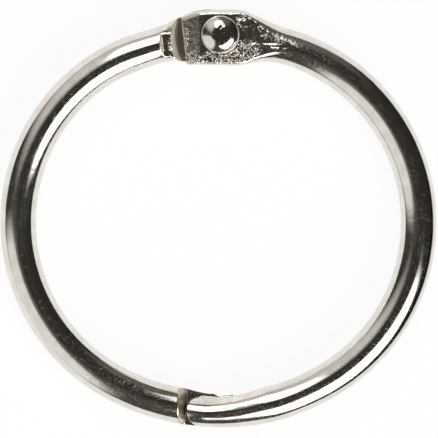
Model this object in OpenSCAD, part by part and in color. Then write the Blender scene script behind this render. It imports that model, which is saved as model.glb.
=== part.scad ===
// Binder ring: two bent wire halves on one rivet, lying flat with the hinge at +Y.
// The origin is the middle of the loop, and the halves lap on the plane z = 0.

/* [Ring] */
// Outside width across both halves, mm
ring_width = 38.1; // [34:0.1:64]
// Wire diameter, mm
wire_diameter = 3.15; // [3:0.05:3.3]
// Distance from the ring's middle to the centre of each half's main bend, mm
bend_offset = 1.55; // [1.2:0.05:1.9]
// Angle that each half runs in the wider bend by the closure, degrees
closing_angle = 28; // [25:1:32]

/* [Hinge ears] */
// Width of a flattened ear, mm
ear_width = 4.95; // [4.6:0.05:5.2]
// Height of an ear's middle above the wire's middle line, mm
ear_shift = 0.22; // [0.1:0.02:0.3]
// Height of an ear's face above the lap plane, mm
ear_face = 1.3; // [1.2:0.02:1.36]
// Distance from the rivet's axis to an ear's cut end, mm
ear_reach = 3.25; // [2.9:0.05:3.5]
// Slant of an ear's cut end, degrees
ear_end_slant = 6.5; // [0:0.5:9]
// Slope of an ear's outer edge towards its cut end, degrees
ear_corner_slope = 20; // [10:1:26]
// Length of the sloped face at an ear's end, mm
ear_slope_length = 1.5; // [1:0.1:1.5]
// Angle of the sloped face at an ear's end, degrees
ear_slope_angle = 14; // [8:1:18]
// Length over which an ear narrows to the wire, mm
neck_length = 3.8; // [3.4:0.1:4]
// Radius of the round pocket that an ear turns in, mm
pocket_radius = 4; // [3.9:0.05:4.15]
// Slope of the pocket's wall from upright, degrees
pocket_wall_angle = 21; // [16:1:26]
// Height of the stamped flat beside a pocket above the lap plane, mm
stamped_flat_height = 1.24; // [1.16:0.02:1.3]
// Distance from the rivet's axis to the far edge of the stamped flat, mm
stamped_flat_reach = 5.25; // [5:0.05:5.5]
// Gap between an ear's corners and the pocket wall, mm
ear_clearance = 0.1; // [0.06:0.01:0.15]
// Gap between the two ears, mm
hinge_gap = 0.06; // [0.04:0.01:0.1]

/* [Rivet] */
// Height of the rivet's axis above the wire's middle line, mm
rivet_rise = 0.42; // [0.34:0.02:0.5]
// Rivet shank diameter, mm
shank_diameter = 2; // [1.6:0.05:2.2]
// Rivet head diameter over its rim, mm
head_diameter = 3.3; // [3.1:0.05:3.4]
// Thickness of a head's rim, mm
head_rim = 0.12; // [0.08:0.01:0.2]
// Width of the rim left round a dome, mm
head_rim_width = 0.11; // [0.06:0.01:0.15]
// Height of the domed front head above its rim, mm
dome_height = 0.44; // [0.36:0.02:0.6]
// Height of the closed back head above its rim, mm
back_head_height = 0.34; // [0.26:0.02:0.42]
// Radial gap between the shank and the half that turns on it, mm
shank_clearance = 0.05; // [0.03:0.01:0.08]
// Gap under the front head, mm
head_clearance = 0.02; // [0.01:0.01:0.05]

/* [Closure] */
// Distance from the ring's middle to the end of each lapping finger, mm
finger_reach = 2.55; // [2.3:0.05:2.8]
// How much narrower a finger is than the wire, mm
finger_thinning = 0.36; // [0.28:0.02:0.44]
// Gap between the two fingers, mm
lap_gap = 0.16; // [0.12:0.02:0.2]
// Gap between a finger's end and the foot of the other half's shoulder, mm
finger_end_gap = 0.1; // [0.06:0.02:0.2]
// Length of a finger's round end, mm
finger_tip_length = 1.4; // [1.2:0.05:1.6]
// Length of the slant along the inner side of a finger's end, mm
finger_slant_length = 1.25; // [1.1:0.05:1.4]
// How far that slant stands in from the finger's inner side, mm
finger_slant_inset = 0.32; // [0.24:0.02:0.4]
// Angle of that slant, degrees
finger_slant_angle = 14; // [8:1:18]
// How far a finger's crown is pressed towards the ring's outer side, mm
finger_pinch = 0.34; // [0.2:0.02:0.4]
// Length over which the crown is pressed to that depth, mm
finger_pinch_length = 2.9; // [2.4:0.1:3.2]
// Slope of the flat that the press leaves on a finger's inner side, degrees
finger_flat_angle = 45; // [40:1:50]
// Length over which the wire thins to a finger, mm
finger_taper_length = 2.2; // [1.8:0.1:2.6]
// Slope of the shoulder that a finger ends against, from upright, degrees
shoulder_angle = 27; // [15:1:32]
// Width of the snap rib under the front finger, mm
rib_width = 0.6; // [0.4:0.05:0.7]
// Length of the snap rib across the finger, mm
rib_length = 1.5; // [1.2:0.05:1.7]
// Distance from the front finger's end to the middle of the snap rib, mm
rib_setback = 1.15; // [1.1:0.05:1.3]
// Gap between the snap rib and the back finger as they pass, mm
rib_clearance = 0.03; // [0.02:0.01:0.05]
// Gap round the snap rib in its groove, mm
groove_clearance = 0.12; // [0.08:0.02:0.16]

/* [Hidden] */
$fn = 96;
section_points = 48;
neck_steps = 14;
bend_steps = 8;
taper_steps = 5;
tip_steps = 8;
tip_points = 12;
wire_radius = wire_diameter / 2;
bend_radius = (ring_width - wire_diameter) / 2 - bend_offset;
closing_radius = bend_radius + bend_offset / sin(closing_angle);
closing_centre_y = (closing_radius - bend_radius) * cos(closing_angle);
rivet_y = bend_radius + rivet_rise;
ear_y = bend_radius + ear_shift;
ear_half_width = ear_width / 2;
// The forming dies leave the ear's sides a little lower than the wire, and square them up
ear_half_thickness = 0.92 * wire_radius;
ear_squareness = 6;
// The ear keeps its full width a little past the end of the bend
neck_start_x = bend_offset + 0.35;
neck_end_x = neck_start_x + neck_length;
// The corner where the neck starts is eased over this share of its length
neck_ease = 0.1;
// The neck is formed from a short way along the round wire
neck_joint_angle = acos((neck_end_x + 0.9 - bend_offset) / bend_radius);
ear_corner_radius = pocket_radius - ear_clearance;
finger_radius = wire_radius - finger_thinning / 2;
// A finger is thinned on its inner side and stands a little proud on its outer side
finger_shift = finger_thinning / 2 + 0.04;
finger_root_x = finger_reach + finger_end_gap;
// The taper runs past the shoulder, and the press on the crown starts within it
taper_end_x = finger_root_x - 1.2;
pinch_start_x = finger_root_x - 0.75;
taper_start_angle = asin((taper_end_x + finger_taper_length) / closing_radius);
taper_end_angle = asin(taper_end_x / closing_radius);
rib_x = rib_setback - finger_reach;
rib_height = lap_gap - rib_clearance;
groove_depth = rib_height + groove_clearance - lap_gap / 2;
head_radius = head_diameter / 2;
shank_radius = shank_diameter / 2;
// How far the cuts run past what they cut
past = 3;
// How far one solid is sunk into the next where they join, in degrees of bend
sink = 1.5;
// How much smaller a formed end is than the wire where it leaves it
joint_step = 0.008;

function clamp01(t) = min(1, max(0, t));
function signed_power(v, p) = sign(v) * pow(abs(v), p);
// How much of the ear's form a section at this x has, from 0 on the wire to 1 on the ear
function ear_share(x) =
  let (t = (x - neck_start_x) / neck_length)
  1 - sin(90 * min(1, (t + sqrt(t * t + neck_ease * neck_ease)) / 2));

// One closed section: a rounded shape of the given half width and half height about a centre,
// where power 2 is an ellipse and more is squarer
function section(centre, outward, half_width, half_height, power) = [
  for (i = [0 : section_points - 1])
    let (
      a = 360 * i / section_points,
      u = half_width * signed_power(cos(a), 2 / power),
      v = half_height * signed_power(sin(a), 2 / power)
    )
    [centre[0] + u * outward[0], centre[1] + u * outward[1], v]
];

// A section of the neck at an angle of the main bend
function neck_section(angle, shrink = 0) =
  let (
    outward = [cos(angle), sin(angle)],
    share = ear_share(bend_offset + bend_radius * outward[0]),
    middle = bend_radius + ear_shift * share
  )
  section(
    [bend_offset + middle * outward[0], middle * outward[1]],
    outward,
    wire_radius + (ear_half_width - wire_radius) * share - shrink,
    wire_radius + (ear_half_thickness - wire_radius) * share - shrink,
    2 + (ear_squareness - 2) * share
  );

// Radius of a pressed finger's section towards (across, up), a unit direction from its middle.
// The crown is a smaller circle against the outer side, and a flat tangent to it runs down
// the inner side as far as the round wire.
function pressed_radius(half, pinch, across, up) =
  let (
    crown = half - pinch,
    on_crown = pinch * across + sqrt(crown * crown - pow(pinch * up, 2)),
    c = cos(finger_flat_angle),
    s = sin(finger_flat_angle),
    past_crown = (on_crown * across - pinch) * c + on_crown * up * s < 0,
    on_flat = (crown - pinch * s) / max(0.1, up * c - across * s)
  )
  up <= 0 ? half : min(half, past_crown ? on_flat : on_crown);

// A section of the finger at an angle of the closing bend, turned over because the finger
// is swept the other way round
function finger_section(angle, shrink = 0) =
  let (
    outward = [sin(angle), -cos(angle)],
    share = clamp01((taper_start_angle - angle) / (taper_start_angle - taper_end_angle)),
    ease = share * share * (3 - 2 * share),
    middle = closing_radius + finger_shift * ease,
    half = wire_radius + (finger_radius - wire_radius) * ease - shrink,
    pressed = clamp01((pinch_start_x - middle * outward[0]) / finger_pinch_length)
  )
  [
    for (i = [0 : section_points - 1])
      let (
        a = 360 * i / section_points,
        r = pressed_radius(half, finger_pinch * pressed, cos(a), -sin(a)),
        out = middle + r * cos(a)
      )
      [out * outward[0], closing_centre_y + out * outward[1], -r * sin(a)]
  ];

// A solid through a row of closed sections
module swept(sections) {
  n = section_points;
  last = len(sections) - 1;
  polyhedron(
    points = [for (s = sections) each s],
    faces = concat(
      [[for (i = [0 : n - 1]) n - 1 - i]],
      [[for (i = [0 : n - 1]) last * n + i]],
      [
        for (k = [0 : last - 1], i = [0 : n - 1])
          [k * n + i, k * n + (i + 1) % n, (k + 1) * n + (i + 1) % n]
      ],
      [
        for (k = [0 : last - 1], i = [0 : n - 1])
          [k * n + i, (k + 1) * n + (i + 1) % n, (k + 1) * n + i]
      ]
    )
  );
}

// The round wire of the main bend
module main_bend() {
  start = closing_angle - 90;
  translate([bend_offset, 0, 0])
    rotate([0, 0, start])
      rotate_extrude(angle = neck_joint_angle - start)
        translate([bend_radius, 0]) circle(r = wire_radius);
}

// The neck and the ear, before they are trimmed
module formed_ear() {
  turn = 90 - neck_joint_angle;
  ear_end = [-ear_reach - 1, ear_y];
  swept(concat(
    [neck_section(neck_joint_angle - sink, 0.04)],
    [neck_section(neck_joint_angle, joint_step)],
    [for (i = [1 : neck_steps]) neck_section(neck_joint_angle + turn * i / neck_steps)],
    [section(ear_end, [0, 1], ear_half_width, ear_half_thickness, ear_squareness)]
  ));
}

// The closing bend and the finger, before its end is rounded and it is cut to its lap
module formed_finger() {
  straight_turn = closing_angle - taper_start_angle;
  taper_turn = taper_start_angle - taper_end_angle;
  finger_turn = taper_end_angle + asin((finger_reach + 0.5) / closing_radius);
  swept(concat(
    [finger_section(closing_angle + sink, 0.04)],
    [finger_section(closing_angle, joint_step)],
    [for (i = [1 : bend_steps]) finger_section(closing_angle - straight_turn * i / bend_steps)],
    [for (i = [1 : taper_steps]) finger_section(taper_start_angle - taper_turn * i / taper_steps)],
    [for (i = [1 : tip_steps]) finger_section(taper_end_angle - finger_turn * i / tip_steps)]
  ));
}

// The plan outline beyond the finger's round end and the slant on its inner side
module finger_end_cut() {
  end_angle = asin(finger_reach / closing_radius);
  middle = closing_radius + finger_shift;
  // The outline is set square to the finger at the middle of its round end
  lean = end_angle - asin(0.5 * finger_tip_length / closing_radius);
  side = finger_radius + 0.03;
  slant_end = [finger_slant_length, side - finger_slant_inset];
  slant_fall = (finger_slant_length + past) * tan(finger_slant_angle);
  translate([-middle * sin(end_angle), closing_centre_y - middle * cos(end_angle), -past])
    rotate([0, 0, -lean])
      linear_extrude(height = 2 * past) {
        polygon(concat(
          [
            for (i = [-tip_points : tip_points])
              let (a = 90 * i / tip_points)
              [finger_tip_length * (1 - cos(a)), side * sin(a)]
          ],
          [[finger_tip_length, past], [-past, past], [-past, -past], [finger_tip_length, -past]]
        ));
        polygon([
          [-past, slant_end[1] - slant_fall],
          slant_end,
          slant_end + (past - slant_end[1]) * [1, 1],
          [-past, past]
        ]);
      }
}

// What is pressed flat over the ear and along its neck
module face_cut() {
  run_out = neck_end_x + 1.1;
  rise = wire_radius - ear_face;
  translate([-past - ear_reach, rivet_y - 2 * past, ear_face])
    cube([past + ear_reach + neck_start_x + 0.1, 4 * past, past]);
  translate([neck_start_x, rivet_y - 2 * past, ear_face])
    rotate([0, -atan(rise / (run_out - neck_start_x)), 0])
      cube([run_out, 4 * past, past]);
}

// The plan outline beyond the ear's cut end and its turned corners
module ear_end_cut() {
  translate([0, rivet_y, -past])
    linear_extrude(height = 2 * past) {
      difference() {
        translate([-3 * past, -2 * past]) square([3 * past - 1, 4 * past]);
        circle(r = ear_corner_radius);
      }
      translate([-ear_reach, 0])
        rotate([0, 0, ear_end_slant])
          translate([-2 * past, -2 * past]) square([2 * past, 4 * past]);
      translate([-neck_start_x, ear_y + ear_half_width - rivet_y - 0.06])
        rotate([0, 0, ear_corner_slope])
          translate([-2 * past, 0]) square([2 * past, past]);
    }
}

// The sloped face at the ear's end
module ear_slope_cut() {
  translate([ear_slope_length - ear_reach, rivet_y, ear_face])
    rotate([0, -ear_slope_angle, 0])
      translate([-3 * past, -2 * past, 0])
        cube([3 * past, 4 * past, past]);
}

// The round pocket for the other ear, with the stamped flat beside it
module pocket_cut() {
  top = hinge_gap / 2;
  widening = (past + top) * tan(pocket_wall_angle);
  translate([0, rivet_y, 0])
    rotate_extrude()
      polygon([
        [0, top],
        [pocket_radius, top],
        [pocket_radius + widening, -past],
        [0, -past]
      ]);
  translate([stamped_flat_reach, rivet_y, -stamped_flat_height])
    rotate([0, 0, -6])
      translate([-past, -2 * past, -past])
        cube([past, 4 * past, past]);
}

// The lap under the finger, from its end back to the slanted shoulder
module lap_cut() {
  lean = (past + lap_gap / 2) * tan(shoulder_angle);
  translate([0, -closing_radius, 0])
    rotate([90, 0, 0])
      linear_extrude(height = 4 * past, center = true)
        polygon([
          [-finger_reach - past, lap_gap / 2],
          [finger_root_x, lap_gap / 2],
          [finger_root_x + lean, -past],
          [-finger_reach - past, -past]
        ]);
}

// One wire half with its ear and finger in front, on the +X side
module half_ring(bore_radius) {
  difference() {
    union() {
      main_bend();
      formed_ear();
      formed_finger();
    }
    face_cut();
    ear_end_cut();
    ear_slope_cut();
    pocket_cut();
    finger_end_cut();
    lap_cut();
    translate([0, rivet_y, -past]) cylinder(r = bore_radius, h = 2 * past);
  }
}

// A bar across the lap at the snap, between two heights
module snap_bar(width, low, high) {
  translate([rib_x - width / 2, closing_centre_y - closing_radius - rib_length / 2, low])
    cube([width, rib_length, high - low]);
}

// The half that turns, with the snap rib under its finger
module right_half_ring() {
  color([0.74, 0.72, 0.68]) union() {
    half_ring(shank_radius + shank_clearance);
    snap_bar(rib_width, lap_gap / 2 - rib_height, lap_gap / 2 + 0.3);
  }
}

// The half that carries the rivet, with the groove that the snap rib clicks into
module left_half_ring() {
  color([0.7, 0.68, 0.64]) difference() {
    rotate([0, 180, 0]) half_ring(shank_radius);
    snap_bar(
      rib_width + 2 * groove_clearance,
      -lap_gap / 2 - groove_depth,
      past
    );
  }
}

// The rivet, with a domed front head and a lower closed head behind
module hinge_rivet() {
  front = ear_face + head_clearance;
  color([0.76, 0.74, 0.7]) translate([0, rivet_y, 0]) {
    translate([0, 0, -ear_face - head_rim / 2])
      cylinder(r = shank_radius, h = ear_face + front + head_rim);
    translate([0, 0, front]) head(dome_height);
    mirror([0, 0, 1]) translate([0, 0, ear_face]) head(back_head_height);
  }
}

// One rivet head standing on z = 0: a rim and a dome
module head(height) {
  dome_radius = head_radius - head_rim_width;
  ball_radius = (dome_radius * dome_radius + height * height) / (2 * height);
  cylinder(r = head_radius, h = head_rim);
  intersection() {
    translate([0, 0, head_rim + height - ball_radius]) sphere(r = ball_radius);
    translate([0, 0, head_rim / 2]) cylinder(r = head_radius, h = height + head_rim);
  }
}

left_half_ring();
right_half_ring();
hinge_rivet();
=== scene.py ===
import math
from types import SimpleNamespace

import bpy
import numpy as np
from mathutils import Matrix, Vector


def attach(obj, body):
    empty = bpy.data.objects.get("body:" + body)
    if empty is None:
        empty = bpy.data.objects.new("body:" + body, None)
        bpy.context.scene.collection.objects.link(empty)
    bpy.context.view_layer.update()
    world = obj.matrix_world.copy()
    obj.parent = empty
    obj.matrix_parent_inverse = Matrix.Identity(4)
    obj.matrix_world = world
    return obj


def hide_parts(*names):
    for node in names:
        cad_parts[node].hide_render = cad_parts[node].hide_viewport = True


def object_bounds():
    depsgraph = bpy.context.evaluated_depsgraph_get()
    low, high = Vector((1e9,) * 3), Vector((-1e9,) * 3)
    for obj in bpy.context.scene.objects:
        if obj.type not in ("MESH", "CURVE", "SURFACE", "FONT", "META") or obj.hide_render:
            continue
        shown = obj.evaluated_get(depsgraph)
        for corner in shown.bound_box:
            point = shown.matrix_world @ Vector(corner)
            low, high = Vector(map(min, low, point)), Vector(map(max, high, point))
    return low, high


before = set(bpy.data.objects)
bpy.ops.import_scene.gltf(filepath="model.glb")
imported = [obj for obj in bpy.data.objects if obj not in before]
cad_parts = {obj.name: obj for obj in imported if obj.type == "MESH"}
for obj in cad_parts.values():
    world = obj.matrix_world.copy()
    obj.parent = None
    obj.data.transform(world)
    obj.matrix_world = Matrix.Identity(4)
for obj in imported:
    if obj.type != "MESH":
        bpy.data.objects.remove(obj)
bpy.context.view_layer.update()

# Sizes in millimetres, those of the part's source or close to them
WIRE = 1.572
BEND = 15.925
OFFSET = 1.55
CLOSING_ANGLE = math.radians(28)
CLOSING = BEND + OFFSET / math.sin(CLOSING_ANGLE)
CLOSING_Y = (CLOSING - BEND) * math.cos(CLOSING_ANGLE)
RIVET_Y = BEND + 0.42
EAR_SHIFT = 0.2
EAR_Y = BEND + EAR_SHIFT
EAR_HALF = 2.45
EAR_THICK = 0.92 * WIRE
EAR_FACE = 1.3
EAR_REACH = 3.25
EAR_SLANT = math.radians(6.5)
EAR_SLOPE = math.radians(14)
EAR_SLOPE_START = -1.75
EAR_CORNER = math.radians(20)
EAR_CORNER_START = -1.9
EAR_CORNER_INSET = 0.06
WORN_CORNER = math.radians(11)
WORN_CORNER_START = -1.4
EAR_CLEARANCE = 0.1
NECK_START = OFFSET + 0.35
NECK = 3.8
FACE_RISE = (WIRE - EAR_FACE) / (NECK + 1.1)
POCKET = 4.0
POCKET_WALL = math.tan(math.radians(12))
POCKET_FLARE = math.tan(math.radians(21))
HINGE_GAP = 0.06
FLAT_HEIGHT = 1.24
FLAT_REACH = 5.25
FLAT_TURN = math.radians(6)
FINGER_REACH = 2.55
TIP = 1.4
SLANT_LENGTH = 0.85
SLANT_INSET = 0.32
SLANT = math.radians(14)
PINCH = 0.2
PINCH_FROM, PINCH_TO = 2.6, -1.2
PINCH_FLAT = math.radians(43)
TIP_FALL = 0.16
TIP_FALL_LENGTH = 1.8
ROOT = 2.65
LAP = 0.08
SHOULDER_RUN = 0.7
SHOULDER_TWIST = 0.12
SHOULDER_LEAN = 0.09
RIB_X = 1.4
RIB_W = -0.05
RIB_HEIGHT = 0.13
GROOVE_DEPTH = 0.17
END_ANGLE = math.asin(FINGER_REACH / CLOSING)
TIP_LEAN = END_ANGLE - math.asin(0.5 * TIP / CLOSING)
# Where the left bend is flatter beside its neck and the right one fuller beside its finger:
# how much, middle and length along X
NECK_DIP = (0.12, 6.5, 2.2)
FINGER_BULGE = (0.1, 5.2, 2.7)
# Points round a section, and how far a section may reach from its middle
AROUND = 144
SECTION_REACH = 3.2
# Press marks on an ear's face: strength, place along and across from the rivet, length and width
BLOTCHES = ((0.8, 2.4, 1.3, 1.1, 0.75), (0.5, 3.7, 0.3, 0.5, 0.6), (0.5, 5.2, -0.25, 0.7, 0.45))
SPECKS = (
    (1.1, 2.3, -1.5, 1.1, 0.8),
    (1.3, 0.2, -2.1, 2.2, 0.55),
    (1.6, -2.6, -2.2, 0.6, 0.55),
    (0.7, -2.95, -0.4, 0.22, 1.0),
    (0.5, 5.2, -0.25, 0.7, 0.5),
)
# Specks on the stamped flat beside the pocket, placed in the same way
FLAT_SPECKS = (4.35, -1.0, 0.2, 0.9)
# Scratches along the neck: middle, length and lean
SCRATCHES = (
    (2.9, 15.52, 0.33, 0.06),
    (4.4, 15.48, 0.75, -0.02),
    (4.75, 15.2, 0.5, -0.05),
    (5.9, 15.12, 0.55, -0.02),
)
SCRATCH_HEIGHT = 0.045
SCRATCH_WIDTH = 0.065


def smooth_max(a, b, k):
    h = np.clip(0.5 + 0.5 * (a - b) / k, 0, 1)
    return a * h + b * (1 - h) + k * h * (1 - h)


def smooth_min(a, b, k):
    return -smooth_max(-a, -b, k)


def smooth_step(lo, hi, v):
    t = np.clip((v - lo) / (hi - lo), 0, 1)
    return t * t * (3 - 2 * t)


def swell(x, much, middle, long_):
    return much * np.exp(-((x - middle) / long_) ** 2)


def ear_share(x, form):
    """How much of the ear's width is left at x along the neck."""
    t = smooth_max((x - NECK_START) / NECK, 0.0, form.ear_soft)
    return 1 - np.sin(math.pi / 2 * np.minimum(t, 1))


def ear_field(x, y, z, form):
    """Below zero inside the ear, its neck and the wire beside it."""
    bent = x > OFFSET
    angle = np.arctan2(y, x - OFFSET)
    share = ear_share(np.where(bent, OFFSET + BEND * np.cos(angle), x), form)
    w = np.where(bent, np.hypot(x - OFFSET, y), y) - BEND - EAR_SHIFT * share
    a = WIRE + (EAR_HALF - WIRE) * share
    b = WIRE + np.where((w > 0) & (z > 0), 0.0, EAR_THICK - WIRE) * share
    # Sections are squarest on their inner side
    outer_back = 3.0 * share ** 2 - 0.5 * np.exp(-((x - 4.3) / 0.55) ** 2)
    n = 2 + np.where(w < 0, 4.5 * share, np.where(z < 0, outer_back, 2.0 * share))
    f = (((np.abs(w) / a) ** n + (np.abs(z) / b) ** n) ** (1 / n) - 1) * b
    edge = np.where(w > 0, 0.02, 0.045)
    f = smooth_max(f, z - EAR_FACE - FACE_RISE * np.maximum(0, x - NECK_START), edge)
    sloped = z - EAR_FACE - (x - EAR_SLOPE_START) * math.tan(EAR_SLOPE)
    f = smooth_max(f, sloped * math.cos(EAR_SLOPE), 0.03)
    corner = y - (EAR_Y + EAR_HALF - EAR_CORNER_INSET) - (x - EAR_CORNER_START) * math.tan(EAR_CORNER)
    f = smooth_max(f, corner * math.cos(EAR_CORNER), 0.6)
    if form.worn:
        corner = EAR_Y - EAR_HALF - y - (x - WORN_CORNER_START) * math.tan(WORN_CORNER)
        f = smooth_max(f, corner * math.cos(WORN_CORNER), 0.15)
    r = np.hypot(x, y - RIVET_Y)
    f = np.where(x < -1, smooth_max(f, r - POCKET + EAR_CLEARANCE, 0.08), f)
    # The pocket's wall is steep in its middle and flares towards its ends
    flare = smooth_step(0.9, 1.5, np.abs(y - RIVET_Y))
    wall_slope = POCKET_WALL + (POCKET_FLARE - POCKET_WALL) * flare
    wall = (POCKET + (HINGE_GAP / 2 - z) * wall_slope - r) * 0.95
    f = smooth_max(f, smooth_min(HINGE_GAP / 2 - z, wall, 0.35), 0.09)
    along = (x - FLAT_REACH) * math.cos(FLAT_TURN) - (y - RIVET_Y) * math.sin(FLAT_TURN)
    step = (0.1 - 0.75 * (z + WIRE) - along) * 0.8
    return smooth_max(f, smooth_min(-FLAT_HEIGHT - 0.08 * w - z, step, 0.05), 0.05)


def finger_field(x, y, z, form):
    """Below zero inside the closing bend and the finger."""
    ease = smooth_step(*form.taper, x)
    half = WIRE - form.thin * ease
    w = np.hypot(x, CLOSING_Y - y) - CLOSING - form.shift * ease
    f = np.hypot(w, z) - half
    middle = CLOSING + form.shift
    ax, ay = x + middle * math.sin(END_ANGLE), y - CLOSING_Y + middle * math.cos(END_ANGLE)
    along = ax * math.cos(TIP_LEAN) - ay * math.sin(TIP_LEAN)
    across = ax * math.sin(TIP_LEAN) + ay * math.cos(TIP_LEAN)
    side = WIRE - form.thin + 0.03
    end = np.hypot(across / side, np.maximum(0, 1 - along / TIP)) - 1
    slope = np.where(along < SLANT_LENGTH, math.tan(SLANT), 1.0)
    inner = across - side + SLANT_INSET - slope * (along - SLANT_LENGTH)
    inner = inner * np.where(along < SLANT_LENGTH, math.cos(SLANT), math.sqrt(0.5))
    f = np.where(x < 0.2, smooth_max(f, smooth_max(end * TIP, inner, 0.2), 0.2), f)
    # The crown is a smaller circle against the outer side, with a flat tangent to it on the inner side
    pinch = PINCH * smooth_step(PINCH_FROM, PINCH_TO, x)
    c, s = math.cos(PINCH_FLAT), math.sin(PINCH_FLAT)
    up = z + TIP_FALL * np.maximum(0, 1 - along / TIP_FALL_LENGTH) ** 2
    on_flat = up * c - (w - pinch) * s - half + pinch
    on_crown = np.hypot(w - pinch, up) - half + pinch
    f = np.where(z > 0, np.maximum(f, np.where((w - pinch) * c + up * s < 0, on_flat, on_crown)), f)
    # The shoulder's upper edge runs straight across the wire
    slant = (SHOULDER_RUN - SHOULDER_TWIST * w) / (LAP + np.sqrt(np.maximum(half ** 2 - w ** 2, 0.3)))
    shoulder = (ROOT + SHOULDER_LEAN * w + (LAP - z) * slant - x) * 0.85
    cut = smooth_min(form.lap(x, w) - z, shoulder, 0.06)
    return smooth_max(f, cut, 0.06)


def stations(form):
    """The rows of the sweep from the ear's end round to the finger's tip."""
    rows = []

    def row(base, angle, bend, top, low, wide, zone, inset=0.0):
        rows.append((base[0], base[1], angle, bend, (top + low) / 2, wide, (top - low) / 2, zone, inset))

    end = -EAR_REACH + (RIVET_Y - EAR_Y) * math.tan(EAR_SLANT)
    rounding = 0.09

    def ear_row(x, inset=0.0):
        # Rows turn to the slant of the ear's end
        tilt = EAR_SLANT * max(0.0, min(1.0, (-0.4 - x) / 2.4))
        top = EAR_FACE + min(0.0, (x - EAR_SLOPE_START) * math.tan(EAR_SLOPE))
        row((x, EAR_Y), math.pi / 2 + tilt, 0.0, top, HINGE_GAP / 2, EAR_HALF, 0, inset)

    for q in np.linspace(0, math.pi / 2, 6):
        ear_row(end + rounding * (1 - math.cos(q)), rounding * (1 - math.sin(q)))
    for x in np.linspace(end + rounding, OFFSET, 84)[1:]:
        ear_row(float(x))

    def neck_row(x):
        angle = math.acos((x - OFFSET) / BEND)
        share = float(ear_share(np.float64(x), form))
        middle = BEND + EAR_SHIFT * share
        base = (OFFSET + middle * math.cos(angle), middle * math.sin(angle))
        r = math.hypot(base[0], base[1] - RIVET_Y)
        bend = (smooth_step(OFFSET, 3.2, x) - smooth_step(5.3, 6.6, x)) / r
        b = WIRE + (EAR_THICK - WIRE) * share
        top = min(b, EAR_FACE + FACE_RISE * max(0.0, x - NECK_START))
        low = -FLAT_HEIGHT if x < FLAT_REACH else -b
        low = max(low, min(HINGE_GAP / 2, HINGE_GAP / 2 - (r - POCKET) / POCKET_WALL))
        row(base, angle, bend, top, low, WIRE + (EAR_HALF - WIRE) * share, 0)

    # Rows lie closest along the pocket's wall
    neck_last = 6.8
    for start, stop, count in ((OFFSET, 3.7, 33), (3.7, 5.6, 58), (5.6, neck_last, 15)):
        for x in np.linspace(start, stop, count)[1:]:
            neck_row(float(x))
    first = math.acos((neck_last - OFFSET) / BEND)
    for angle in np.linspace(first, CLOSING_ANGLE - math.pi / 2, 180)[1:]:
        base = (OFFSET + BEND * math.cos(angle), BEND * math.sin(angle))
        row(base, float(angle), 0.0, WIRE, -WIRE, WIRE, 1)

    def finger_row(angle):
        ease = float(smooth_step(*form.taper, CLOSING * math.sin(angle)))
        half = WIRE - form.thin * ease
        middle = CLOSING + form.shift * ease
        base = (middle * math.sin(angle), CLOSING_Y - middle * math.cos(angle))
        low = max(-half, min(LAP, LAP - (base[0] - ROOT) * (LAP + WIRE) / SHOULDER_RUN))
        row(base, angle - math.pi / 2, 0.0, half, low, half, 2)

    # They lie close again along the shoulder, and crowd towards the tip
    above, below = math.asin(3.7 / CLOSING), math.asin(2.4 / CLOSING)
    before_tip = -math.asin(0.8 / CLOSING)
    for start, stop, count in ((CLOSING_ANGLE, above, 46), (above, below, 42), (below, before_tip, 44)):
        for angle in np.linspace(start, stop, count)[1:]:
            finger_row(float(angle))
    for q in np.linspace(1, 0, 52)[1:]:
        finger_row(-math.asin((FINGER_REACH - 0.012 - (FINGER_REACH - 0.812) * q ** 2.2) / CLOSING))
    return np.array(rows)


def sweep(form):
    """Points of one half, on the +X side with its ear and finger in front, row by row."""
    rows = stations(form)
    bx, by, angle, bend, zc, wide, tall, zone, inset = (rows[:, i:i + 1] for i in range(9))
    ex, ey = np.cos(angle), np.sin(angle)
    turn = np.linspace(0, 2 * math.pi, AROUND, endpoint=False)[None, :]
    du, dv = wide * np.cos(turn), tall * np.sin(turn)
    size = np.hypot(du, dv)
    du, dv = du / size, dv / size

    def place(rho):
        w = rho * du
        kb = np.where(np.abs(bend) < 1e-6, 1e-6, bend)
        across, back = np.sin(kb * w) / kb, (1 - np.cos(kb * w)) / kb
        return bx + ex * across - ey * back, by + ey * across + ex * back, zc + rho * dv

    def field(rho):
        x, y, z = place(rho)
        f = np.empty_like(x)
        ear, mid, fin = (np.flatnonzero(zone[:, 0] == i) for i in range(3))
        f[ear] = ear_field(x[ear], y[ear], z[ear], form)
        f[mid] = np.hypot(np.hypot(x[mid] - OFFSET, y[mid]) - BEND, z[mid]) - WIRE
        f[fin] = finger_field(x[fin], y[fin], z[fin], form)
        return f

    # Each ray steps out until it leaves the metal, and the last step is then halved again and again
    lo = np.zeros_like(du)
    hi = np.full_like(du, SECTION_REACH)
    open_ray = np.ones(du.shape, bool)
    for step in np.linspace(0.05, SECTION_REACH, 64):
        inside = field(np.full_like(du, step)) < 0
        lo = np.where(open_ray & inside, step, lo)
        hit = open_ray & ~inside
        hi = np.where(hit, step, hi)
        open_ray &= inside
    for _ in range(18):
        mid = (lo + hi) / 2
        inside = field(mid) < 0
        lo, hi = np.where(inside, mid, lo), np.where(inside, hi, mid)
    grid = np.stack(place(np.maximum(0.02, (lo + hi) / 2 - inset)), -1)
    # Places on the wire before it was bent, for its drawing lines
    run = np.concatenate([[0], np.cumsum(np.hypot(np.diff(bx[:, 0]), np.diff(by[:, 0])))])[:, None]
    drawn = np.stack([WIRE * np.cos(turn) + 0 * run, WIRE * np.sin(turn) + 0 * run, run + 0 * turn], -1)
    return grid, drawn


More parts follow.
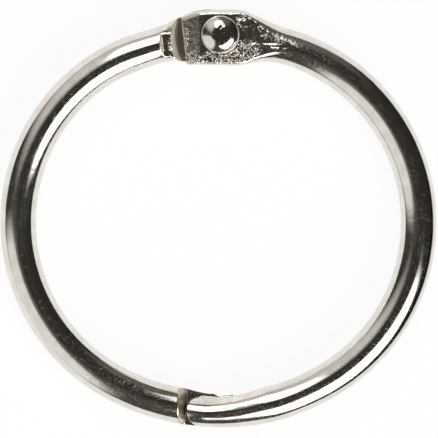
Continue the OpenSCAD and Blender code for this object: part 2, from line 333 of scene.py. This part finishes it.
def grid_mesh(name, grid):
    """A mesh over rows of points that close on themselves, with flat ends."""
    n, m = grid.shape[:2]
    i, j = np.meshgrid(np.arange(n - 1), np.arange(m), indexing="ij")
    k = (j + 1) % m
    quads = np.stack([i * m + j, i * m + k, (i + 1) * m + k, (i + 1) * m + j], -1)
    ends = [list(range(m))[::-1], [(n - 1) * m + a for a in range(m)]]
    mesh = bpy.data.meshes.new(name)
    mesh.from_pydata((grid.reshape(-1, 3) * 0.001).tolist(), [], quads.reshape(-1, 4).tolist() + ends)
    mesh.update()
    mesh.polygons.foreach_set("use_smooth", np.ones(len(mesh.polygons), bool))
    mesh.set_sharp_from_angle(angle=math.radians(38))
    return mesh


def normals_of(grid):
    along = np.gradient(grid, axis=0)
    round_ = np.roll(grid, -1, 1) - np.roll(grid, 1, 1)
    n = np.cross(round_, along)
    return n / np.maximum(1e-9, np.linalg.norm(n, axis=-1, keepdims=True))


def dents(x, y, seed, count, box, size, depth):
    """A height over x and y made of many small dents and scratches."""
    rng = np.random.default_rng(seed)
    h = np.zeros_like(x)
    for _ in range(count):
        px, py = rng.uniform(box[0], box[1]), rng.uniform(box[2], box[3])
        a = rng.uniform(0, math.pi)
        s = rng.uniform(*size)
        long_ = s * rng.uniform(1, 3)
        u = (x - px) * math.cos(a) + (y - py) * math.sin(a)
        v = (y - py) * math.cos(a) - (x - px) * math.sin(a)
        h += rng.uniform(-1, 0.5) * depth * np.exp(-(u / long_) ** 2 - (v / s) ** 2)
    return h


def half_piece(name, form, turned, seed):
    """One dressed half; the turned one has its ear and finger behind, on the -X side."""
    grid, drawn = sweep(form)
    x, y, z = grid[..., 0], grid[..., 1], grid[..., 2]
    normal = normals_of(grid)
    up = normal[..., 2]
    r = np.hypot(x, y - RIVET_Y)
    hinge = np.where((y > 5) & (x < 7.2), 1.0, 0.0)
    face = hinge * smooth_step(0.80, 0.93, up) * smooth_step(6.6, 5.0, x)
    slope = face * smooth_step(-1.7, -1.85, x)
    end = hinge * smooth_step(-2.9, -3.1, x) * smooth_step(0.5, 0.2, np.abs(up))
    flat = hinge * smooth_step(-0.8, -0.93, up) * smooth_step(5.2, 5.1, x) * smooth_step(-0.7, -1.0, z)
    pocket = hinge * smooth_step(4.75, 4.6, r) * smooth_step(0.1, -0.1, up) * (1 - flat)
    pocket = np.where(z < 0.3, pocket, 0.0)
    closure = np.where(y < -5, 1.0, 0.0)
    shoulder = closure * np.where((x < 3.7) & (x > 2.5) & (normal[..., 0] < -0.4) & (up < 0.2), 1.0, 0.0)
    lap = closure * np.where(x < 2.7, 1.0, 0.0) * smooth_step(-0.8, -0.93, up)
    step = hinge * smooth_step(-0.3, -0.45, normal[..., 0])
    step = np.where((x > 4.9) & (x < 5.7) & (z < -0.9), step, 0.0)
    # Where the press left marks: blotches beside the rivet, specks below it and at the cut end
    v = y - RIVET_Y

    def spot(px, pv, wide, tall):
        return np.exp(-(((x - px) / wide) ** 2 + ((v - pv) / tall) ** 2) ** 1.5)

    blotch = face * np.clip(sum(much * spot(*place) for much, *place in BLOTCHES) + 0.03, 0, 1)
    speck = face * np.clip(sum(much * spot(*place) for much, *place in SPECKS) + 0.05, 0, 1.4)
    relief = dents(x, y, seed, 120, (-3.4, 6.2, 13.4, 18.8), (0.08, 0.2), 0.006)
    relief += blotch * dents(x, y, seed + 1, 110, (1.2, 6.0, RIVET_Y - 0.9, 18.6), (0.09, 0.15), 0.05)
    relief += speck * dents(x, y, seed + 2, 420, (-3.4, 6.0, 13.4, RIVET_Y + 1.0), (0.06, 0.11), 0.034)
    for px, py, long_, lean in SCRATCHES:
        u, c = x - px, y - py - lean * (x - px)
        relief += SCRATCH_HEIGHT * np.exp(-(u / long_) ** 4 - (c / SCRATCH_WIDTH) ** 2)
    grid = grid + normal * (face * relief)[..., None]
    beside = flat * spot(*FLAT_SPECKS)
    pitted = dents(x, y, seed + 3, 90, (3.9, 4.9, 13.4, 18.0), (0.06, 0.1), 0.05)
    grid = grid + normal * (beside * pitted)[..., None]
    speck = np.maximum(speck, 0.7 * beside)
    # Rubbed places along the crest of the wire
    phi = np.arctan2(y, x - OFFSET)
    crest = smooth_step(0.7, 0.95, np.abs(up))
    for middle, wide, much in form.rubbed:
        speck = np.maximum(speck, much * crest * np.exp(-((phi - middle) / wide) ** 2))
    # The pocket's floor, which the material paints dark: painted shade in the recess
    floor = pocket * smooth_step(-0.6, -0.8, up)
    if turned:
        grid[..., 1] -= swell(grid[..., 0], *NECK_DIP) * np.where(y > 5, 1, 0)
        grid = grid * np.array([-1.0, 1.0, -1.0])
    else:
        grid[..., 1] -= swell(grid[..., 0], *FINGER_BULGE) * closure
    mesh = grid_mesh(name, grid)
    marks = {
        "stamped": np.maximum(np.maximum(face, flat), np.maximum(end, lap)),
        "slope": np.maximum(slope, end),
        # The pocket's wall and the flat's step are painted paler than the nickel: painted light
        "wall": np.maximum(pocket - floor, 0.8 * step),
        # The pocket's floor is painted dark: painted shade
        "floor": floor,
        "brushed": shoulder,
        "blotch": blotch,
        "speck": speck,
    }
    for key, value in marks.items():
        layer = mesh.attributes.new(key, "FLOAT", "POINT")
        layer.data.foreach_set("value", value.reshape(-1).astype(np.float32))
    layer = mesh.attributes.new("drawn", "FLOAT_VECTOR", "POINT")
    layer.data.foreach_set("vector", drawn.reshape(-1).astype(np.float32))
    piece = bpy.data.objects.new(name, mesh)
    bpy.context.collection.objects.link(piece)
    return piece


def rib_lap(x, w):
    """Height of the lap under the front finger, with its snap rib."""
    raised = smooth_step(0.36, 0.26, np.abs(x + RIB_X)) * smooth_step(0.65, 0.57, np.abs(w - RIB_W))
    return LAP - RIB_HEIGHT * raised


def groove_lap(x, w):
    """Height of the lap of the back finger, with the groove for the rib."""
    sunk = smooth_step(0.46, 0.38, np.abs(x - RIB_X)) * smooth_step(0.72, 0.64, np.abs(w - RIB_W))
    return LAP + GROOVE_DEPTH * sunk


def rivet_piece(name):
    """The rivet, with its domed head in front and a lower one behind."""
    seat, rim, head, dome, shank = EAR_FACE + 0.02, 0.12, 1.65, 1.54, 1.0
    rounded, chamfer = 0.06, 0.02
    front_height, back_height = 0.436, 0.338

    def front(t):
        # Flat in the middle and steeper towards the rim
        return (2.6 * max(0.0, t - 0.40) ** 2 + 0.06 * t * t) / (2.6 * 0.60 ** 2 + 0.06)

    def cap(height, low, sign, fall):
        # Each point has its radius and height, how much it leans, and 1 where it is the rim
        part = []
        for q in np.linspace(0, 1, 72):
            t = math.sin(q * math.pi / 2)
            part.append((dome * t, sign * (low + rim + height * (1 - fall(t))), 1 - t ** 4, 0.0))
        for q in np.linspace(0, math.pi / 2, 7):
            z = low + rim - rounded + rounded * math.cos(q)
            part.append((head - rounded + rounded * math.sin(q), sign * z, 0.0, 1.0))
        part.append((head, sign * (low + chamfer), 0.0, 1.0))
        part.append((head - chamfer, sign * low, 0.0, 1.0))
        part.append((shank, sign * low, 0.0, 1.0))
        return part

    points = cap(front_height, seat, 1, front)
    points += cap(back_height, EAR_FACE, -1, lambda t: t ** 2.2)[::-1]
    turn = np.linspace(0, 2 * math.pi, 160, endpoint=False)
    rows = []
    for r, z, lean, edge in points:
        r = max(r, 0.004)
        # The dome was closed a little off the middle of its rim, with its flat leaning the other way
        dx, dy = -0.02 * (1 - edge) + 0.08 * lean, 0.02 * (1 - edge) - 0.05 * lean
        across, along = dx + r * np.cos(turn), RIVET_Y + dy + r * np.sin(turn)
        rows.append(np.stack([across, along, np.full_like(turn, z)], -1))
    grid = np.array(rows)[::-1]
    x, y = grid[..., 0], grid[..., 1]
    top = np.where(grid[..., 2] > seat + rim, 1.0, 0.0)
    marks = dents(x, y, 5, 70, (-1.5, 1.5, RIVET_Y - 1.5, RIVET_Y + 1.5), (0.08, 0.2), 0.019)
    grid[..., 2] += top * marks * smooth_step(1.3, 0.6, np.hypot(x, y - RIVET_Y))
    mesh = grid_mesh(name, grid)
    # 1 on the rim, which the material paints paler: a painted highlight
    layer = mesh.attributes.new("rim", "FLOAT", "POINT")
    edge = np.array([row[3] for row in points[::-1]])[:, None] * np.ones_like(x)
    layer.data.foreach_set("value", edge.reshape(-1).astype(np.float32))
    piece = bpy.data.objects.new(name, mesh)
    bpy.context.collection.objects.link(piece)
    return piece


class Nodes:
    """Short calls for a node tree."""

    def __init__(self, tree):
        self.tree = tree
        tree.nodes.clear()

    def add(self, kind, **values):
        node = self.tree.nodes.new(kind)
        for key, value in values.items():
            setattr(node, key, value)
        return node

    def link(self, a, b):
        self.tree.links.new(a, b)

    def feed(self, socket, value):
        if isinstance(value, bpy.types.NodeSocket):
            self.link(value, socket)
        elif value is not None:
            socket.default_value = value

    def math(self, op, a, b=None, c=None, clamp=False):
        node = self.add("ShaderNodeMath", operation=op, use_clamp=clamp)
        for i, v in enumerate((a, b, c)):
            self.feed(node.inputs[i], v)
        return node.outputs[0]

    def dot(self, a, b):
        node = self.add("ShaderNodeVectorMath", operation="DOT_PRODUCT")
        self.feed(node.inputs[0], a)
        self.feed(node.inputs[1], b)
        return node.outputs["Value"]

    def ramp(self, value, lo, hi):
        node = self.add("ShaderNodeMapRange", interpolation_type="SMOOTHSTEP")
        self.feed(node.inputs["Value"], value)
        node.inputs["From Min"].default_value = lo
        node.inputs["From Max"].default_value = hi
        return node.outputs["Result"]

    def mix(self, fac, a, b):
        node = self.add("ShaderNodeMix", data_type="RGBA")
        self.feed(node.inputs["Factor"], fac)
        self.feed(node.inputs["A"], a)
        self.feed(node.inputs["B"], b)
        return node.outputs["Result"]

    def noise(self, vector, scale, detail=2.0, rough=0.5, distortion=0.0):
        node = self.add("ShaderNodeTexNoise")
        self.feed(node.inputs["Vector"], vector)
        node.inputs["Scale"].default_value = scale
        node.inputs["Detail"].default_value = detail
        node.inputs["Roughness"].default_value = rough
        node.inputs["Distortion"].default_value = distortion
        return node.outputs["Fac"]

    def attribute(self, name, kind="Fac"):
        return self.add("ShaderNodeAttribute", attribute_name=name).outputs[kind]

    def scaled(self, vector, scale):
        node = self.add("ShaderNodeMapping")
        self.link(vector, node.inputs["Vector"])
        node.inputs["Scale"].default_value = scale
        return node.outputs[0]


def nickel(name, shift, stamped):
    """Bright nickel plate: mirror wire with faint ripples and pits, rough where it was stamped."""
    material = bpy.data.materials.new(name)
    material.use_nodes = True
    t = Nodes(material.node_tree)
    out = t.add("ShaderNodeOutputMaterial")
    shader = t.add("ShaderNodeBsdfPrincipled")
    t.link(shader.outputs[0], out.inputs["Surface"])
    shader.inputs["Metallic"].default_value = 1.0
    coords = t.add("ShaderNodeTexCoord")
    place = t.add("ShaderNodeMapping")
    t.link(coords.outputs["Object"], place.inputs["Vector"])
    place.inputs["Scale"].default_value = (1000, 1000, 1000)
    place.inputs["Location"].default_value = shift
    p = place.outputs[0]
    tone = t.noise(p, 0.9, 3.0)
    fine = t.noise(p, 9.0, 2.0)
    pits = t.ramp(t.noise(p, 13.0, 1.0), 0.68, 0.76)
    colour = t.mix(t.ramp(tone, 0.35, 0.65), (0.73, 0.69, 0.63, 1), (0.79, 0.765, 0.72, 1))
    rough = t.math("MULTIPLY_ADD", t.ramp(tone, 0.3, 0.7), 0.04, 0.055)
    rough = t.math("MULTIPLY_ADD", pits, 0.15, rough)
    height = t.math("MULTIPLY_ADD", fine, 0.11, t.math("MULTIPLY", pits, -0.15))
    if stamped:
        worked = t.attribute("stamped")
        lines = t.noise(t.scaled(t.attribute("drawn", "Vector"), (4.5, 4.5, 0.3)), 1.0, 3.0, 0.6)
        height = t.math("MULTIPLY_ADD", lines, 0.14, height)
        rough = t.math("MULTIPLY_ADD", t.ramp(lines, 0.5, 0.75), 0.04, rough)
        wall, floor, brushed = (t.attribute(key) for key in ("wall", "floor", "brushed"))
        dull = t.math("MULTIPLY", worked, t.ramp(fine, 0.3, 0.7))
        colour = t.mix(dull, colour, (0.56, 0.51, 0.44, 1))
        # Painted light: the pocket's wall and the step get a paler colour than the nickel
        colour = t.mix(wall, colour, t.mix(fine, (0.90, 0.84, 0.74, 1), (1.0, 0.96, 0.88, 1)))
        # Painted shade: the pocket's floor is painted dark
        colour = t.mix(t.math("MULTIPLY", floor, 0.9), colour, (0.22, 0.20, 0.14, 1))
        colour = t.mix(brushed, colour, t.mix(fine, (0.46, 0.40, 0.32, 1), (0.66, 0.59, 0.49, 1)))
        rough = t.math("MULTIPLY_ADD", worked, 0.07, rough)
        rough = t.math("MULTIPLY_ADD", wall, 0.62, rough)
        rough = t.math("MULTIPLY_ADD", floor, 0.25, rough)
        rough = t.math("MULTIPLY_ADD", brushed, 0.3, rough)
        blobs = t.ramp(t.noise(p, 1.7, 1.0, 0.5, 1.2), 0.54, 0.66)
        height = t.math("MULTIPLY_ADD", t.math("MULTIPLY", blobs, t.attribute("blotch")), 3.2, height)
        grit = t.ramp(t.noise(p, 3.9, 1.0, 0.5, 0.8), 0.46, 0.62)
        height = t.math("MULTIPLY_ADD", t.math("MULTIPLY", grit, t.attribute("speck")), 2.0, height)
        for scale, key, much in (((4.2, 0.9, 2.0), "slope", 0.7), ((11, 11, 1.2), "brushed", 0.5)):
            streaks = t.noise(t.scaled(p, scale), 1.0, 2.0)
            height = t.math("MULTIPLY_ADD", t.math("MULTIPLY", streaks, t.attribute(key)), much, height)
    else:
        rim = t.attribute("rim")
        # Painted highlight: the rivet's rim is painted paler than the nickel, and it is also made rougher
        colour = t.mix(rim, colour, (0.88, 0.85, 0.80, 1))
        rough = t.math("MULTIPLY_ADD", rim, 0.4, rough)
    t.link(colour, shader.inputs["Base Color"])
    t.link(rough, shader.inputs["Roughness"])
    bump = t.add("ShaderNodeBump")
    bump.inputs["Strength"].default_value = 1.0
    bump.inputs["Distance"].default_value = 0.00002
    t.link(height, bump.inputs["Height"])
    t.link(bump.outputs[0], shader.inputs["Normal"])
    return material


def studio_floor():
    """A white sheet that glows for the camera and in the metal, and still takes some shadow."""
    size = 3.0
    n = 24
    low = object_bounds()[0][2] - 0.00001
    points, faces = [], []
    for i in range(n + 1):
        for j in range(n + 1):
            points.append((size * (i / n - 0.5), size * (j / n - 0.5), low))
    for i in range(n):
        for j in range(n):
            a = i * (n + 1) + j
            faces.append((a, a + n + 1, a + n + 2, a + 1))
    mesh = bpy.data.meshes.new("floor")
    mesh.from_pydata(points, [], faces)
    floor = bpy.data.objects.new("floor", mesh)
    bpy.context.collection.objects.link(floor)
    material = bpy.data.materials.new("floor_paper")
    material.use_nodes = True
    t = Nodes(material.node_tree)
    out = t.add("ShaderNodeOutputMaterial")
    paper = t.add("ShaderNodeBsdfPrincipled")
    coords = t.add("ShaderNodeTexCoord")
    grain = t.noise(coords.outputs["Object"], 900.0, 3.0)
    sheet = t.mix(grain, (0.94, 0.94, 0.935, 1), (0.96, 0.96, 0.955, 1))
    paper.inputs["Roughness"].default_value = 0.9
    paper.inputs["Specular IOR Level"].default_value = 0.0
    glow = t.add("ShaderNodeEmission")
    glow.inputs["Color"].default_value = (1, 1, 1, 1)
    path = t.add("ShaderNodeLightPath")
    # Past a line a little way off on one side, the sheet is painted black for reflections only, a painted
    # dark reflection in the metal; the camera still sees it white there
    side, edge_from, edge_to = (0.966, -0.26, 0.0), 0.0225, 0.030
    past = t.ramp(t.dot(coords.outputs["Object"], side), edge_from, edge_to)
    far = t.math("MULTIPLY", path.outputs["Is Glossy Ray"], past)
    t.link(t.math("SUBTRACT", 1.0, far), glow.inputs["Strength"])
    t.link(t.mix(far, sheet, (0.03, 0.03, 0.03, 1)), paper.inputs["Base Color"])
    seen = t.math("MAXIMUM", path.outputs["Is Camera Ray"], path.outputs["Is Glossy Ray"])
    seen = t.math("MAXIMUM", seen, path.outputs["Is Transmission Ray"])
    blend = t.add("ShaderNodeMixShader")
    glowing = 0.91
    t.link(t.math("MULTIPLY", seen, glowing), blend.inputs["Fac"])
    t.link(paper.outputs[0], blend.inputs[1])
    t.link(glow.outputs[0], blend.inputs[2])
    t.link(blend.outputs[0], out.inputs["Surface"])
    mesh.materials.append(material)


def studio_world():
    """A dark room with soft boxes, and plain white where the camera sees past the floor."""
    world = bpy.data.worlds.new("studio")
    bpy.context.scene.world = world
    world.use_nodes = True
    t = Nodes(world.node_tree)
    out = t.add("ShaderNodeOutputWorld")
    back = t.add("ShaderNodeBackground")
    t.link(back.outputs[0], out.inputs["Surface"])
    ray = t.add("ShaderNodeTexCoord").outputs["Generated"]

    def panel(azimuth, polar, roll, centre, half, power, soft, taper=0.0):
        """A soft box that faces the ring, with angles in degrees from +X and from straight up."""
        a, p, r = math.radians(azimuth), math.radians(polar), math.radians(roll)
        c = np.array([math.sin(p) * math.cos(a), math.sin(p) * math.sin(a), math.cos(p)])
        h = np.array([-math.sin(a), math.cos(a), 0.0])
        u = np.cross(c, h)
        u = u if u[2] > 0 else -u
        right, up = h * math.cos(r) + u * math.sin(r), u * math.cos(r) - h * math.sin(r)
        facing = t.dot(ray, tuple(c))
        safe = t.math("MAXIMUM", facing, 0.05)
        across = t.math("DIVIDE", t.dot(ray, tuple(right)), safe)
        along = t.math("DIVIDE", t.dot(ray, tuple(up)), safe)
        if taper:
            across = t.math("DIVIDE", across, t.math("MULTIPLY_ADD", along, -taper, 1.0))
        across = t.math("ABSOLUTE", t.math("DIVIDE", t.math("SUBTRACT", across, centre[0]), half[0]))
        along = t.math("ABSOLUTE", t.math("DIVIDE", t.math("SUBTRACT", along, centre[1]), half[1]))
        edge = t.math("ADD", t.math("POWER", across, power), t.math("POWER", along, power))
        edge = t.math("POWER", edge, 1.0 / power)
        shape = t.ramp(edge, 1 + soft, 1 - soft)
        return t.math("MULTIPLY", shape, t.math("GREATER_THAN", facing, 0.06))

    # The main box, a smaller one opposite, two that fill their ends, and dimmer walls round them
    boxes = (
        (panel(-50, 50, 18, (-0.065, -0.05), (0.47, 0.405), 3.5, 0.34), 5.0, (1, 0.99, 0.97)),
        (panel(99.5, 38, 0, (0.0, -0.02), (0.205, 0.36), 3.0, 0.36, 1.0), 3.8, (1, 0.99, 0.97)),
        (panel(77, 40, 0, (0.0, 0.0), (0.055, 0.05), 2.0, 0.4), 1.4, (1, 0.99, 0.97)),
        (panel(-84, 45, 0, (0.0, 0.0), (0.155, 0.22), 2.5, 0.28), 2.4, (1, 0.99, 0.97)),
        (panel(72, 68, 0, (0.0, 0.0), (0.34, 0.42), 2.0, 0.5), 0.10, (1, 0.95, 0.85)),
        (panel(-150, 38, 0, (0.0, 0.0), (0.22, 0.42), 2.0, 0.6), 0.16, (1, 0.96, 0.88)),
        (panel(124, 54, 0, (-0.03, 0.0), (0.50, 0.57), 3.0, 0.5), 0.64, (1, 0.97, 0.93)),
        (panel(105, 89, 0, (0.0, 0.0), (1.05, 0.12), 6.0, 0.3), 0.95, (1, 0.98, 0.95)),
        (panel(-154, 60, 3, (0.11, 0.04), (0.49, 0.66), 3.0, 0.24, 0.6), 0.82, (1, 0.99, 0.98)),
    )
    total = None
    for mask, strength, tint in boxes:
        scaled = t.add("ShaderNodeVectorMath", operation="SCALE")
        scaled.inputs[0].default_value = tint
        t.link(t.math("MULTIPLY", mask, strength), scaled.inputs["Scale"])
        if total is None:
            total = scaled.outputs[0]
        else:
            joined = t.add("ShaderNodeVectorMath", operation="MAXIMUM")
            t.link(total, joined.inputs[0])
            t.link(scaled.outputs[0], joined.inputs[1])
            total = joined.outputs[0]
    room = t.add("ShaderNodeVectorMath", operation="ADD")
    t.link(total, room.inputs[0])
    height = t.math("MULTIPLY_ADD", t.dot(ray, (0.0, 0.0, 1.0)), 0.015, 0.022, clamp=True)
    side = t.math("MULTIPLY", t.dot(ray, (-0.5, -0.87, 0.0)), 0.05, clamp=True)
    dark = t.add("ShaderNodeVectorMath", operation="SCALE")
    dark.inputs[0].default_value = (1.0, 0.95, 0.82)
    t.link(t.math("ADD", height, side), dark.inputs["Scale"])
    t.link(dark.outputs[0], room.inputs[1])
    path = t.add("ShaderNodeLightPath")
    t.link(t.mix(path.outputs["Is Camera Ray"], room.outputs[0], (1, 1, 1, 1)), back.inputs["Color"])


def camera():
    """A long lens that looks straight down on the ring."""
    roll = math.radians(0.6)
    width, lens = 0.03822, 1100.0
    away = width / 36.0 * lens
    shift = (0.00005, 0.00027)
    x = shift[0] * math.cos(roll) - shift[1] * math.sin(roll)
    y = shift[0] * math.sin(roll) + shift[1] * math.cos(roll)
    data = bpy.data.cameras.new("camera")
    data.lens = lens
    data.sensor_width = 36.0
    data.clip_end = 20.0
    cam = bpy.data.objects.new("camera", data)
    cam.location = (x, y, away)
    cam.rotation_euler = (0, 0, roll)
    bpy.context.collection.objects.link(cam)
    bpy.context.scene.camera = cam


camera()
bpy.context.scene.view_settings.view_transform = "Standard"
studio_world()

# The two halves are pressed from the same wire but come out a little different
right_form = SimpleNamespace(lap=rib_lap, worn=False, ear_soft=0.12, thin=0.19, shift=0.23, taper=(4.6, 1.2),
                             rubbed=((0.05, 0.1, 0.05), (1.08, 0.1, 0.06), (1.32, 0.1, 0.09)))
left_form = SimpleNamespace(lap=groove_lap, worn=True, ear_soft=0.3, thin=0.13, shift=0.11, taper=(2.9, 0.5),
                            rubbed=((-0.9, 0.45, 0.06), (0.36, 0.12, 0.08)))
right = half_piece("right_wire_half", right_form, False, 11)
left = half_piece("left_wire_half", left_form, True, 23)
rivet = rivet_piece("domed_rivet")
right.data.materials.append(nickel("nickel_right", (3.1, 0.4, 1.7), True))
left.data.materials.append(nickel("nickel_left", (-6.3, 2.2, 5.1), True))
rivet.data.materials.append(nickel("nickel_rivet", (0.7, -8.0, 2.9), False))
for piece, body, node, slot in (
    (right, "right_half", "right_half_ring", "right_wire"),
    (left, "left_half", "left_half_ring", "left_wire"),
    (rivet, "left_half", "hinge_rivet", "rivet"),
):
    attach(piece, body)
    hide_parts(node)
studio_floor()
